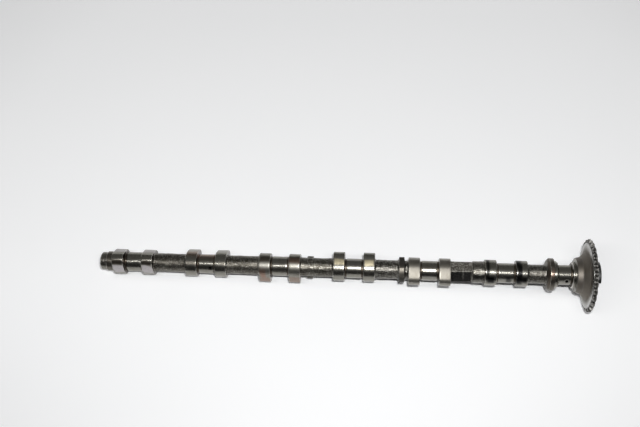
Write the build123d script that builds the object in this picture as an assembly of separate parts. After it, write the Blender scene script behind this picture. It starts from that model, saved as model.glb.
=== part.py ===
from build123d import *
import math
import os

# Camshaft of a straight-six engine with two overhead camshafts, and the chain
# sprocket bolted to its nose. Millimetres.
# +X runs along the shaft from the rear end to the sprocket. The origin is on the
# axis, at the middle of the front journal. Angles about the shaft are counted from
# +Y towards +Z. With two sprocket teeth either side of -Z the shaft lies steady.

# Layout along the shaft
CYLINDER_COUNT = 6
CYLINDER_PITCH = 91.0
FRONT_JOURNAL_TO_CYLINDER_1 = 68.4
FIRING_ORDER = (1, 5, 3, 6, 2, 4)
CYLINDER_1_NOSE_ANGLE = 277.0

# Lobes, two for each cylinder, with a journal between them
LOBE_SPACING = 36.6
LOBE_WIDTH = 13.8
BASE_CIRCLE_RADIUS = 15.5
VALVE_LIFT = 4.8
NOSE_RADIUS = 9.0
FLANK_RADIUS = 70.0

# As-cast core and ground journals
CORE_RADIUS = 11.3
JOURNAL_RADIUS = 11.9

# Rear end, behind the last lobe
SHOULDER_RADIUS = 12.0
SHOULDER_LENGTH = 9.7
STUB_RADIUS = 11.1
STUB_LENGTH = 7.7
STUB_BEVEL = 1.2
CENTRE_HOLE_RADIUS = 4.0
CENTRE_CONE_HALF_ANGLE = 30.0

# Driving lugs between cylinders 4 and 3, where the grinder grips the casting
LUGGED_CYLINDER = 4
LUG_TIP_RADIUS = 13.0
LUG_LENGTH = 7.7
LUG_WIDTH = 9.0
LUG_FROM_LOBE = 8.3
LUG_ANGLE = 44.0
LUG_EDGE_BREAK = 0.5

# Index collar between cylinders 3 and 2, with one milled flat
COLLARED_CYLINDER = 2
COLLAR_RADIUS = 15.7
COLLAR_WIDTH = 6.6
COLLAR_TO_LOBE = 4.9
COLLAR_EDGE_BREAK = 0.7
COLLAR_FLAT_DEPTH = 2.2
COLLAR_FLAT_ANGLE = 65.0

# Spanner hexagon and plain barrel between cylinders 2 and 1
HEXAGON_ACROSS_FLATS = 24.0
HEXAGON_LENGTH = 26.4
HEXAGON_CORNER_ANGLE = 106.0
HEXAGON_CORNER_RADIUS = 13.55
HEXAGON_CORNER_BEVEL = 0.9
BARREL_RADIUS = 13.2

# Double thrust collar and front journal
LARGE_THRUST_RADIUS = 19.7
LARGE_THRUST_WIDTH = 8.0
LARGE_THRUST_REAR_BEVEL = 2.8
SMALL_THRUST_RADIUS = 16.2
SMALL_THRUST_WIDTH = 5.0
SMALL_THRUST_FRONT_BEVEL = 1.5
FRONT_JOURNAL_LENGTH = 15.0

# Nose: flange that the sprocket seats on, and its pilot
FLANGE_NECK_WIDTH = 1.3
FLANGE_RADIUS = 15.8
FLANGE_THICKNESS = 4.4
FLANGE_BEVEL_LENGTH = 0.7
FLANGE_BEVEL_DEPTH = 1.2
PILOT_RADIUS = 10.0
PILOT_LENGTH = 7.0

# Oil holes drilled in the front journal and in cylinder 5's journal
OIL_HOLE_RADIUS = 1.8
OIL_HOLE_DEPTH = 7.0
FRONT_OIL_HOLE_OFFSET = 2.6
FRONT_OIL_HOLE_ANGLE = 145.0
OILED_CYLINDER = 5
INNER_OIL_HOLE_OFFSET = 5.6
INNER_OIL_HOLE_ANGLE = 130.0

# Chain sprocket for a 3/8 inch simplex roller chain
CHAIN_PITCH = 9.525
ROLLER_DIAMETER = 6.35
TOOTH_COUNT = 28
FIRST_GAP_ANGLE = 90.0
TIP_RADIUS = 43.6
SEAT_HALF_ANGLE = 68.0
RIM_THICKNESS = 4.7
RIM_SETBACK = 13.9
TOOTH_BEVEL_WIDTH = 1.0
TOOTH_BEVEL_DEPTH = 2.6
WEB_RADIUS = 38.9
WEB_STEP = 0.7
HUB_LENGTH = 13.9
HUB_REAR_RADIUS = 20.7
HUB_WAIST_RADIUS = 22.5
HUB_WAIST_LENGTH = 6.4
BELL_MOUTH_RADIUS = 29.2
RECESS_RADIUS = 25.0

# Flange bolt that holds the sprocket, and the pulse plate between them
BOLT_RADIUS = 6.0
BOLT_THREAD_LENGTH = 30.0
BOLT_HEAD_ACROSS_FLATS = 18.0
BOLT_HEAD_HEIGHT = 7.5
BOLT_HEAD_BEVEL = 0.9
BOLT_HOLE_SPARE_DEPTH = 4.0
BOLT_FLANGE_RADIUS = 12.5
BOLT_FLANGE_THICKNESS = 3.0
PLATE_RADIUS = 17.5
PLATE_THICKNESS = 2.0
PLATE_DEPTH = 13.7
PLATE_LIP_SPAN = 180.0
PLATE_LIP_MIDDLE_ANGLE = 46.0

# Standard proportions: a hexagon, and a roller chain's tooth as shares of the roller's size
HEXAGON_SIDES = 6
SEAT_SHARE = 0.505
SEAT_ALLOWANCE = 0.069
FLANK_SHARE = 0.12

# Clearances on radius
PILOT_CLEARANCE = 0.03
THREAD_CLEARANCE = 0.03
BOLT_HOLE_CLEARANCE = 0.3

# Places along the shaft that follow from the sizes above
PAIR_HALF_LENGTH = (LOBE_SPACING + LOBE_WIDTH) / 2
LAST_PAIR_X = -FRONT_JOURNAL_TO_CYLINDER_1 - (CYLINDER_COUNT - 1) * CYLINDER_PITCH
SHOULDER_X = LAST_PAIR_X - PAIR_HALF_LENGTH - SHOULDER_LENGTH
REAR_END_X = SHOULDER_X - STUB_LENGTH
FRONT_JOURNAL_REAR_X = -FRONT_JOURNAL_LENGTH / 2
SMALL_THRUST_X = FRONT_JOURNAL_REAR_X - SMALL_THRUST_WIDTH
LARGE_THRUST_X = SMALL_THRUST_X - LARGE_THRUST_WIDTH
FLANGE_X = FRONT_JOURNAL_LENGTH / 2 + FLANGE_NECK_WIDTH
SEAT_X = FLANGE_X + FLANGE_THICKNESS
PILOT_END_X = SEAT_X + PILOT_LENGTH
HUB_FRONT_X = SEAT_X + HUB_LENGTH
BOLT_FLANGE_X = HUB_FRONT_X + PLATE_THICKNESS
BOLT_HEAD_X = BOLT_FLANGE_X + BOLT_FLANGE_THICKNESS
BOLT_END_X = PILOT_END_X - BOLT_THREAD_LENGTH
PLATE_END_X = HUB_FRONT_X + PLATE_DEPTH


def pair_x(cylinder):
    """Middle of a cylinder's journal, counted from the front."""
    return -FRONT_JOURNAL_TO_CYLINDER_1 - (cylinder - 1) * CYLINDER_PITCH


def nose_angle(cylinder):
    """Direction of a cylinder's two lobes: they follow each other in firing order."""
    step = 360.0 / CYLINDER_COUNT
    return CYLINDER_1_NOSE_ANGLE + FIRING_ORDER.index(cylinder) * step


def cross_plane(x, angle):
    """Plane square to the shaft whose own X axis points away from it at the angle."""
    turn = math.radians(angle)
    outward = (0, math.cos(turn), math.sin(turn))
    return Plane(origin=(x, 0, 0), x_dir=outward, z_dir=(1, 0, 0))


def turned(start, end, radius, rear_bevel=0.0, front_bevel=0.0):
    """Round stage of the shaft, with a bevel at each end."""
    outline = [
        (start, 0),
        (start, radius - rear_bevel),
        (start + rear_bevel, radius),
        (end - front_bevel, radius),
        (end, radius - front_bevel),
        (end, 0),
    ]
    return revolved(outline)


def half_section(outline):
    """Flat face on the +Z side of the axis, from (x, radius) corners."""
    corners = []
    for corner in outline:
        if not corners or corner != corners[-1]:
            corners.append(corner)
    return make_face(Plane.XZ * Polyline(*corners, close=True))


def revolved(outline):
    """Solid of revolution about the shaft from (x, radius) corners."""
    return revolve(half_section(outline), axis=Axis.X)


def ring(start, end, outer_radius, inner_radius, edge_break=0.0):
    """Round stage with a hole through it."""
    return turned(start, end, outer_radius, edge_break, edge_break) - turned(start, end, inner_radius)


def hexagon(start, end, across_flats, angle):
    """Six-sided stage with a corner at the angle."""
    outline = RegularPolygon(radius=across_flats / 2, side_count=HEXAGON_SIDES, major_radius=False)
    return extrude(cross_plane(start, angle) * outline, amount=end - start)


def radial_drill(x, angle, surface_radius, radius, depth):
    """Blind hole drilled square into the shaft."""
    turn = math.radians(angle)
    outward = Vector(0, math.cos(turn), math.sin(turn))
    along_hole = Plane(origin=Vector(x, 0, 0), x_dir=(1, 0, 0), z_dir=outward)
    bottom = Pos(0, 0, surface_radius - depth)
    return extrude(along_hole * bottom * Circle(radius), amount=depth + radius)


def lobe_outline():
    """Base circle, two flanks and nose as four tangent arcs, with the nose on +X."""
    nose_centre = BASE_CIRCLE_RADIUS + VALVE_LIFT - NOSE_RADIUS
    to_base = FLANK_RADIUS - BASE_CIRCLE_RADIUS
    to_nose = FLANK_RADIUS - NOSE_RADIUS
    along = (to_base**2 - to_nose**2 + nose_centre**2) / (2 * nose_centre)
    across = math.sqrt(to_base**2 - along**2)
    base_angle = math.degrees(math.atan2(across, -along))
    nose_edge_angle = math.degrees(math.atan2(across, nose_centre - along))
    flank_sweep = base_angle - nose_edge_angle
    base = CenterArc((0, 0), BASE_CIRCLE_RADIUS, base_angle, 360 - 2 * base_angle)
    near_flank = CenterArc((along, across), FLANK_RADIUS, -base_angle, flank_sweep)
    nose = CenterArc((nose_centre, 0), NOSE_RADIUS, -nose_edge_angle, 2 * nose_edge_angle)
    far_flank = CenterArc((along, -across), FLANK_RADIUS, nose_edge_angle, flank_sweep)
    return make_face([base, near_flank, nose, far_flank])


def lobe(x, angle):
    """One cam lobe, ground all over."""
    return extrude(cross_plane(x, angle) * lobe_outline(), amount=LOBE_WIDTH / 2, both=True)


def lobe_pairs():
    """All lobes, and the ground journal between the two of each cylinder."""
    pieces = []
    for cylinder in range(1, CYLINDER_COUNT + 1):
        middle = pair_x(cylinder)
        pieces.append(turned(middle - LOBE_SPACING / 2, middle + LOBE_SPACING / 2, JOURNAL_RADIUS))
        for side in (-1, 1):
            pieces.append(lobe(middle + side * LOBE_SPACING / 2, nose_angle(cylinder)))
    return pieces


def rear_end():
    """Shoulder and stub behind the last lobe."""
    shoulder = turned(SHOULDER_X, LAST_PAIR_X - LOBE_SPACING / 2, SHOULDER_RADIUS)
    stub = turned(REAR_END_X, LAST_PAIR_X - LOBE_SPACING / 2, STUB_RADIUS, STUB_BEVEL)
    return [shoulder, stub]


def driving_lugs():
    """Two small pads on opposite sides, cast on in front of cylinder 4."""
    start = pair_x(LUGGED_CYLINDER) + PAIR_HALF_LENGTH + LUG_FROM_LOBE
    pads = Box(2 * LUG_TIP_RADIUS, LUG_WIDTH, LUG_LENGTH)
    pads = chamfer(pads.edges(), LUG_EDGE_BREAK)
    return [cross_plane(start + LUG_LENGTH / 2, LUG_ANGLE) * pads]


def index_collar():
    """Collar behind cylinder 2, with a flat milled on one side."""
    end = pair_x(COLLARED_CYLINDER) - PAIR_HALF_LENGTH - COLLAR_TO_LOBE
    start = end - COLLAR_WIDTH
    collar = turned(start, end, COLLAR_RADIUS, COLLAR_EDGE_BREAK, COLLAR_EDGE_BREAK)
    cutter = Box(COLLAR_RADIUS, 2 * COLLAR_RADIUS, 2 * COLLAR_WIDTH)
    cutter_centre = COLLAR_RADIUS - COLLAR_FLAT_DEPTH + COLLAR_RADIUS / 2
    milled = cross_plane((start + end) / 2, COLLAR_FLAT_ANGLE) * (Pos(cutter_centre, 0, 0) * cutter)
    return [collar - milled]


def spanner_hexagon():
    """Hexagon in front of cylinder 2 and the plain barrel up to cylinder 1."""
    start = pair_x(COLLARED_CYLINDER) + PAIR_HALF_LENGTH
    end = start + HEXAGON_LENGTH
    prism = hexagon(start, end, HEXAGON_ACROSS_FLATS, HEXAGON_CORNER_ANGLE)
    turned_corners = turned(start, end, HEXAGON_CORNER_RADIUS, 0.0, HEXAGON_CORNER_BEVEL)
    barrel = turned(end, pair_x(1) - PAIR_HALF_LENGTH, BARREL_RADIUS)
    return [prism & turned_corners, barrel]


def thrust_collars():
    """Double collar that keeps the shaft from moving endways."""
    large = turned(LARGE_THRUST_X, SMALL_THRUST_X, LARGE_THRUST_RADIUS, LARGE_THRUST_REAR_BEVEL)
    small = turned(
        SMALL_THRUST_X,
        FRONT_JOURNAL_REAR_X,
        SMALL_THRUST_RADIUS,
        0.0,
        SMALL_THRUST_FRONT_BEVEL,
    )
    return [large, small]


def nose():
    """Front journal, bevelled flange and pilot."""
    journal = turned(FRONT_JOURNAL_REAR_X, FRONT_JOURNAL_LENGTH / 2, JOURNAL_RADIUS)
    flange = revolved(
        [
            (FLANGE_X, 0),
            (FLANGE_X, FLANGE_RADIUS - FLANGE_BEVEL_DEPTH),
            (FLANGE_X + FLANGE_BEVEL_LENGTH, FLANGE_RADIUS),
            (SEAT_X, FLANGE_RADIUS),
            (SEAT_X, 0),
        ]
    )
    pilot = turned(SEAT_X, PILOT_END_X, PILOT_RADIUS)
    return [journal, flange, pilot]


def centre_hole():
    """Sixty degree lathe centre in the rear end."""
    depth = CENTRE_HOLE_RADIUS / math.tan(math.radians(CENTRE_CONE_HALF_ANGLE))
    return revolved([(REAR_END_X, 0), (REAR_END_X, CENTRE_HOLE_RADIUS), (REAR_END_X + depth, 0)])


def bolt_hole():
    """Tapped hole in the nose for the sprocket bolt."""
    return turned(BOLT_END_X - BOLT_HOLE_SPARE_DEPTH, PILOT_END_X, BOLT_RADIUS + THREAD_CLEARANCE)


def oil_holes():
    """Oil holes in the front journal and in one of the inner journals."""
    front = radial_drill(
        FRONT_OIL_HOLE_OFFSET,
        FRONT_OIL_HOLE_ANGLE,
        JOURNAL_RADIUS,
        OIL_HOLE_RADIUS,
        OIL_HOLE_DEPTH,
    )
    inner = radial_drill(
        pair_x(OILED_CYLINDER) + INNER_OIL_HOLE_OFFSET,
        INNER_OIL_HOLE_ANGLE,
        JOURNAL_RADIUS,
        OIL_HOLE_RADIUS,
        OIL_HOLE_DEPTH,
    )
    return [front, inner]


def camshaft():
    """The whole casting: core, lobes, journals, collars, hexagon and nose."""
    core = turned(LAST_PAIR_X, SEAT_X, CORE_RADIUS)
    stages = lobe_pairs()
    stages += rear_end()
    stages += driving_lugs()
    stages += index_collar()
    stages += spanner_hexagon()
    stages += thrust_collars()
    stages += nose()
    casting = core + stages
    holes = oil_holes()
    holes.append(centre_hole())
    holes.append(bolt_hole())
    return casting - holes


def tooth_gap(angle):
    """Space between two teeth: a round roller seat and two convex flanks."""
    pitch_radius = CHAIN_PITCH / 2 / math.sin(math.pi / TOOTH_COUNT)
    seat_radius = SEAT_SHARE * ROLLER_DIAMETER + SEAT_ALLOWANCE * ROLLER_DIAMETER ** (1 / 3)
    flank_radius = FLANK_SHARE * ROLLER_DIAMETER * (TOOTH_COUNT + 2)
    seat_edge = 180.0 - SEAT_HALF_ANGLE
    reach = seat_radius + flank_radius
    flank_x = pitch_radius + reach * math.cos(math.radians(seat_edge))
    flank_y = reach * math.sin(math.radians(seat_edge))
    flank_distance = math.hypot(flank_x, flank_y)
    mouth_radius = TIP_RADIUS + RIM_THICKNESS / 2
    squares = mouth_radius**2 - flank_distance**2 - flank_radius**2
    turn_to_mouth = math.acos(squares / (2 * flank_distance * flank_radius))
    flank_end = math.degrees(math.atan2(flank_y, flank_x) - turn_to_mouth)
    sweep = flank_end + SEAT_HALF_ANGLE
    seat = CenterArc((pitch_radius, 0), seat_radius, seat_edge, 2 * SEAT_HALF_ANGLE)
    upper = CenterArc((flank_x, flank_y), flank_radius, -SEAT_HALF_ANGLE, sweep)
    lower = CenterArc((flank_x, -flank_y), flank_radius, SEAT_HALF_ANGLE, -sweep)
    mouth = Line(upper @ 1, lower @ 1)
    outline = make_face([seat, upper, mouth, lower])
    return extrude(cross_plane(SEAT_X, angle) * outline, amount=RIM_SETBACK + 2 * RIM_THICKNESS)


def sprocket_blank():
    """Turned sprocket before its teeth are cut: bell-shaped hub, flat web and rim."""
    bore = PILOT_RADIUS + PILOT_CLEARANCE
    rim_rear = SEAT_X + RIM_SETBACK
    rim_front = rim_rear + RIM_THICKNESS
    web_rear = rim_rear - WEB_STEP
    outline = [
        (SEAT_X, bore),
        (SEAT_X, HUB_REAR_RADIUS),
        (SEAT_X + HUB_WAIST_LENGTH, HUB_WAIST_RADIUS),
        (web_rear, BELL_MOUTH_RADIUS),
        (web_rear, WEB_RADIUS),
        (rim_rear, WEB_RADIUS),
        (rim_rear, TIP_RADIUS - TOOTH_BEVEL_DEPTH),
        (rim_rear + TOOTH_BEVEL_WIDTH, TIP_RADIUS),
        (rim_front - TOOTH_BEVEL_WIDTH, TIP_RADIUS),
        (rim_front, TIP_RADIUS - TOOTH_BEVEL_DEPTH),
        (rim_front, RECESS_RADIUS),
        (HUB_FRONT_X, RECESS_RADIUS),
        (HUB_FRONT_X, bore),
    ]
    return revolved(outline)


def sprocket():
    """Sprocket with the middle of its first gap at the angle given."""
    gaps = [tooth_gap(FIRST_GAP_ANGLE + index * 360.0 / TOOTH_COUNT) for index in range(TOOTH_COUNT)]
    return sprocket_blank() - gaps


def pulse_plate():
    """Pressed cup on the sprocket's face, with a lip round half of its edge."""
    hole = BOLT_RADIUS + BOLT_HOLE_CLEARANCE
    disc = ring(HUB_FRONT_X, BOLT_FLANGE_X, PLATE_RADIUS, hole)
    lip_section = half_section(
        [
            (HUB_FRONT_X, PLATE_RADIUS - PLATE_THICKNESS),
            (HUB_FRONT_X, PLATE_RADIUS),
            (PLATE_END_X, PLATE_RADIUS),
            (PLATE_END_X, PLATE_RADIUS - PLATE_THICKNESS),
        ]
    )
    lip = revolve(lip_section, axis=Axis.X, revolution_arc=PLATE_LIP_SPAN)
    lip = Rot(PLATE_LIP_MIDDLE_ANGLE - 90.0 - PLATE_LIP_SPAN / 2, 0, 0) * lip
    return disc + lip


def sprocket_bolt():
    """Flanged hexagon bolt through plate and sprocket into the nose of the shaft."""
    shank = turned(BOLT_END_X, BOLT_HEAD_X, BOLT_RADIUS)
    flange = turned(BOLT_FLANGE_X, BOLT_HEAD_X, BOLT_FLANGE_RADIUS)
    head_end = BOLT_HEAD_X + BOLT_HEAD_HEIGHT
    corner_radius = BOLT_HEAD_ACROSS_FLATS / 2 / math.cos(math.pi / HEXAGON_SIDES)
    turned_head = turned(BOLT_HEAD_X, head_end, corner_radius, 0.0, BOLT_HEAD_BEVEL)
    head = hexagon(BOLT_HEAD_X, head_end, BOLT_HEAD_ACROSS_FLATS, 0.0) & turned_head
    return shank + flange + head


def write(shape, node):
    """Write one piece to its own file."""
    export_step(shape, f"parts/{node}.step")


os.makedirs("parts", exist_ok=True)
write(camshaft(), "camshaft")
write(sprocket(), "sprocket")
write(pulse_plate(), "pulse_plate")
write(sprocket_bolt(), "sprocket_bolt")
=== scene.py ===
import math

import bmesh
import bpy
import numpy as np
from mathutils import Matrix


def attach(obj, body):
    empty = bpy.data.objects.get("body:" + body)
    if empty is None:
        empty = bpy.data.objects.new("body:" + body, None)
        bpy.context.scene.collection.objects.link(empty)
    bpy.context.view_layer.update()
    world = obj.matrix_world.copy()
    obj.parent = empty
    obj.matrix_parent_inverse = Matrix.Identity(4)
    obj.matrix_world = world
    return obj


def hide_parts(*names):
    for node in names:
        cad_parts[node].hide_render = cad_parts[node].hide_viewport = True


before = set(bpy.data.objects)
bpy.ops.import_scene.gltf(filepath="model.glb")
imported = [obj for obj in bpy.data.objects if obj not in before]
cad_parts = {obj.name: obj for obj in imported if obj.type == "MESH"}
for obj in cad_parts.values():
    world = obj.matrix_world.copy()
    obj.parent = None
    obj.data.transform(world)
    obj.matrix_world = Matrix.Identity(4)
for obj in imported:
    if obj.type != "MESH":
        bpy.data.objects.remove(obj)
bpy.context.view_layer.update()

# Pieces and table are worked out in millimetres in the frame of the solids: x along the
# shaft, angles about it counted from +Y towards +Z. Their meshes are scaled to metres.
# Lamps, camera and the sizes in materials are in metres.
METRE = 0.001
ROUND = math.tau
RNG = np.random.default_rng(28)

# ---------------------------------------------------------------- sizes of the shaft
CYLINDER_PITCH = 91.0
CYLINDER_1_X = -68.4
LOBE_SPACING = 36.6
LOBE_WIDTH = 13.8
LOBE_HALF = LOBE_WIDTH / 2
PAIR_HALF = (LOBE_SPACING + LOBE_WIDTH) / 2
BASE_RADIUS = 15.5
LIFT = 4.8
NOSE_RADIUS = 9.0
FLANK_RADIUS = 70.0
NOSE_ANGLES = {6: 97.0, 5: 337.0, 4: 217.0, 3: 37.0, 2: 157.0, 1: 277.0}
CORE_RADIUS = 11.3
JOURNAL_RADIUS = 11.9
JOURNAL_EDGE = 0.4
NECK_WIDTH = 2.2
SHOULDER_X, REAR_END_X = -558.3, -566.0
SHOULDER_RADIUS, STUB_RADIUS = 12.0, 11.1
LUG_TO_LOBE, LUG_LENGTH, LUG_ANGLE = 8.3, 7.7, 44.0
LUG_TIP_RADIUS, LUG_HALF_WIDTH = 13.0, 4.5
COLLAR_TO_LOBE, COLLAR_WIDTH, COLLAR_RADIUS = 4.9, 6.6, 15.7
COLLAR_FLAT_DEPTH, COLLAR_FLAT_ANGLE = 2.2, 65.0
HEXAGON_LENGTH, HEXAGON_CORNER_ANGLE = 26.4, 106.0
HEXAGON_FLAT_RADIUS, HEXAGON_CORNER_RADIUS = 12.0, 13.55
BARREL_RADIUS = 13.2
THRUST_X = -20.5
LARGE_THRUST_RADIUS, SMALL_THRUST_RADIUS = 19.7, 16.2
FRONT_JOURNAL_END_X = 7.5
FLANGE_RADIUS = 15.8
SEAT_X, PILOT_END_X = 13.2, 20.2
PILOT_RADIUS, BOLT_HOLE_RADIUS = 10.0, 6.05
BOLT_HOLE_FLOOR_X, LATHE_CENTRE_X = -13.6, REAR_END_X + 7.3
OIL_HOLE_RADIUS, OIL_HOLE_DEPTH = 1.8, 6.0
SEAM_ANGLES, SEAM_SPREAD, SEAM_HEIGHT = (16.0, 196.0), 2.6, 0.16

# Grid of the shaft: columns round it, and the spacing of rows on each kind of surface
SHAFT_ANGLES = 136
CORE_STEP, JOURNAL_STEP, LOBE_STEP, COLLAR_STEP = 1.15, 1.5, 1.7, 0.9
NOISE_START_X, NOISE_STEP, NOISE_ROWS = -570.0, 0.5, 1300

# ---------------------------------------------------------------- sizes of the wheel
TEETH = 28
CHAIN_PITCH, ROLLER = 9.525, 6.35
PITCH_RADIUS = CHAIN_PITCH / 2 / math.sin(math.pi / TEETH)
SEAT_RADIUS = 0.505 * ROLLER + 0.069 * ROLLER ** (1 / 3)
TOOTH_FLANK_RADIUS = 0.12 * ROLLER * (TEETH + 2)
TIP_RADIUS = 43.6
SEAT_HALF_ANGLE = math.radians(68.0)
BORE_RADIUS = 10.03
WEB_REAR_X, RIM_REAR_X, RIM_FRONT_X, HUB_FRONT_X = 26.4, 27.1, 31.8, 27.1
RECESS_RADIUS, RECESS_FILLET = 25.0, 1.5
# Angle and spread where the painted shade in the tooth gaps is weakest
GAP_LIT_ANGLE, GAP_LIT_SPREAD = 106.0, 28.0

# ------------------------------------------------------- sizes of the plate and bolt
PLATE_RADIUS, PLATE_BEND, PLATE_HOLE_RADIUS = 17.5, 1.2, 6.3
PLATE_FRONT_X, LIP_FRONT_X = 29.1, 40.8
LIP_INNER_RADIUS, LIP_EDGE = 15.5, 0.45
LIP_MIDDLE_ANGLE, LIP_HALF_SPAN = 46.0, 90.0
BOLT_END_X, BOLT_DISH_X, BOLT_HEAD_X = -9.8, 39.2, 39.6
BOLT_RADIUS, BOLT_FLANGE_RADIUS, BOLT_FLAT_RADIUS = 6.0, 12.5, 9.0
BOLT_ANGLES = 144

# ------------------------------------------------- leans about the axis, towards -Y
CAMERA_LEAN = math.radians(16.0)
LONG_LAMP_LEAN = math.radians(12.5)
NEAR_LAMP_LEAN = math.radians(11.9)


def pair_x(cylinder):
    """Middle of a cylinder's journal along the shaft."""
    return CYLINDER_1_X - (cylinder - 1) * CYLINDER_PITCH


def lobe_x(cylinder, side):
    """Middle of a lobe, with side -1 for the rear one of its pair and 1 for the front."""
    return pair_x(cylinder) + side * LOBE_SPACING / 2


DRILLED_CYLINDER = 5
JOURNAL_HOLE_X, JOURNAL_HOLE_ANGLE = pair_x(DRILLED_CYLINDER) + 5.6, 130.0
FRONT_HOLE_X, FRONT_HOLE_ANGLE = 2.6, 145.0


def column(*values):
    """One value for each row, the same all round."""
    return np.array(values)[:, None]


def smooth(low, high, value):
    """Smooth step from 0 at low to 1 at high."""
    share = np.clip((value - low) / (high - low), 0.0, 1.0)
    return share * share * (3.0 - 2.0 * share)


def bell(value, width):
    """Bell of height 1 about 0, exp(-(value / width)^2)."""
    return np.exp(-((value / width) ** 2))


def turn_from(theta, middle):
    """Angle from a direction, wrapped to -180..180 degrees."""
    return (np.degrees(theta) - middle + 180.0) % 360.0 - 180.0


def cloud(rows, columns, row_blur, column_blur):
    """Random field with unit spread: white noise times a Gaussian in frequency, where
    19.7 is about 2 pi squared and makes the blurs count in samples."""
    noise = np.fft.rfft2(RNG.standard_normal((rows, columns)))
    along = np.fft.fftfreq(rows)[:, None] * row_blur
    around = np.fft.rfftfreq(columns)[None, :] * column_blur
    noise = noise * np.exp(-(along**2 + around**2) * 19.7)
    field = np.fft.irfft2(noise, s=(rows, columns))
    return (field - field.mean()) / field.std()


def on_rows(field, x):
    """Field on an even spacing along x, read at other places by straight lines."""
    place = np.clip((x - NOISE_START_X) / NOISE_STEP, 0, len(field) - 2)
    low = place.astype(int)
    share = (place - low)[:, None]
    return field[low] * (1 - share) + field[low + 1] * share


# ---------------------------------------------------------------- meshes from grids
def skin(name, points, marks=None, loop=False, poles=(None, None), sharp=30.0):
    """Mesh over a grid of points in rows round the axis, in millimetres.

    points is rows x columns x 3; columns close on themselves, and rows too with loop.
    A pole is a point that closes the first or the last row with a fan.
    """
    rows, columns = points.shape[:2]
    last = rows if loop else rows - 1
    i, j = np.meshgrid(np.arange(last), np.arange(columns), indexing="ij")
    k, m = (i + 1) % rows, (j + 1) % columns
    corners = np.stack([i * columns + j, i * columns + m, k * columns + m, k * columns + j], -1)
    faces = [tuple(face) for face in corners.reshape(-1, 4).tolist()]
    vertices = points.reshape(-1, 3)
    ring = np.arange(columns)
    for pole, row, turn in ((poles[0], 0, 1), (poles[1], rows - 1, -1)):
        if pole is not None:
            centre = np.full(columns, len(vertices))
            vertices = np.vstack([vertices, pole])
            first, second = row * columns + ring, row * columns + np.roll(ring, -1)
            fan = np.stack([centre, second, first][::turn], -1)
            faces += [tuple(face) for face in fan.tolist()]
    mesh = bpy.data.meshes.new(name)
    mesh.from_pydata((vertices * METRE).tolist(), [], faces)
    for mark, values in (marks or {}).items():
        layer = mesh.attributes.new(mark, "FLOAT", "POINT")
        flat = np.zeros(len(vertices), dtype=np.float32)
        flat[: rows * columns] = np.broadcast_to(values, (rows, columns)).reshape(-1)
        layer.data.foreach_set("value", flat)
    weld(mesh)
    mesh.shade_smooth()
    mesh.set_sharp_from_angle(angle=math.radians(sharp))
    return in_scene(name, mesh)


def in_scene(name, data):
    """Object made from its data and put in the scene."""
    made = bpy.data.objects.new(name, data)
    bpy.context.scene.collection.objects.link(made)
    return made


def weld(mesh):
    """Join points that coincide, and drop the faces that this flattens."""
    shell = bmesh.new()
    shell.from_mesh(mesh)
    bmesh.ops.remove_doubles(shell, verts=shell.verts, dist=2e-6)
    shell.to_mesh(mesh)
    shell.free()


def about_axis(x, radius, theta):
    """Points (x, r cos t, r sin t) on a grid."""
    x, radius, theta = np.broadcast_arrays(x, radius, theta)
    return np.stack([x, radius * np.cos(theta), radius * np.sin(theta)], -1)


class Rows:
    """Rows of a turned surface, laid one after another along the shaft."""

    def __init__(self, theta):
        self.theta = theta
        self.x, self.radius, self.marks = [], [], []

    def lay(self, x, radius, **marks):
        """Rows at places x, with one radius, one for each row or one for each angle."""
        x = np.atleast_1d(np.asarray(x, dtype=float))
        radius = np.asarray(radius, dtype=float)
        if radius.ndim == 1 and len(radius) == len(x) and len(radius) != len(self.theta):
            radius = radius[:, None]
        shape = (len(x), len(self.theta))
        self.x.append(x)
        self.radius.append(np.broadcast_to(radius, shape).copy())
        self.marks.append({mark: np.broadcast_to(v, shape) for mark, v in marks.items()})

    def rounded(self, start, end, radius, rear, front, step, **marks):
        """Stage whose two edges are quarter rounds: x = s + e(1 - cos a), r = R - e(1 - sin a)."""
        arc = np.radians([0.0, 32.0, 62.0, 90.0])
        inward, drop = 1 - np.cos(arc), (1 - np.sin(arc))[:, None]
        worn = column(1.0, 1.0, 0.7, 0.0)
        self.lay(start + rear * inward, radius - rear * drop, edge=worn, **marks)
        count = max(2, round((end - start) / step))
        self.lay(np.linspace(start + rear, end - front, count)[1:-1], radius, **marks)
        self.lay(end - front * inward[::-1], radius - front * drop[::-1], edge=worn[::-1], **marks)

    def done(self):
        """All rows as arrays: places, radii and marks by name."""
        x, radius = np.concatenate(self.x), np.vstack(self.radius)
        names = {mark for block in self.marks for mark in block}
        marks = {}
        for mark in sorted(names):
            parts = []
            for block, places in zip(self.marks, self.x):
                empty = np.zeros((len(places), len(self.theta)))
                parts.append(block.get(mark, empty))
            marks[mark] = np.vstack(parts)
        return x, radius, marks


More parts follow.
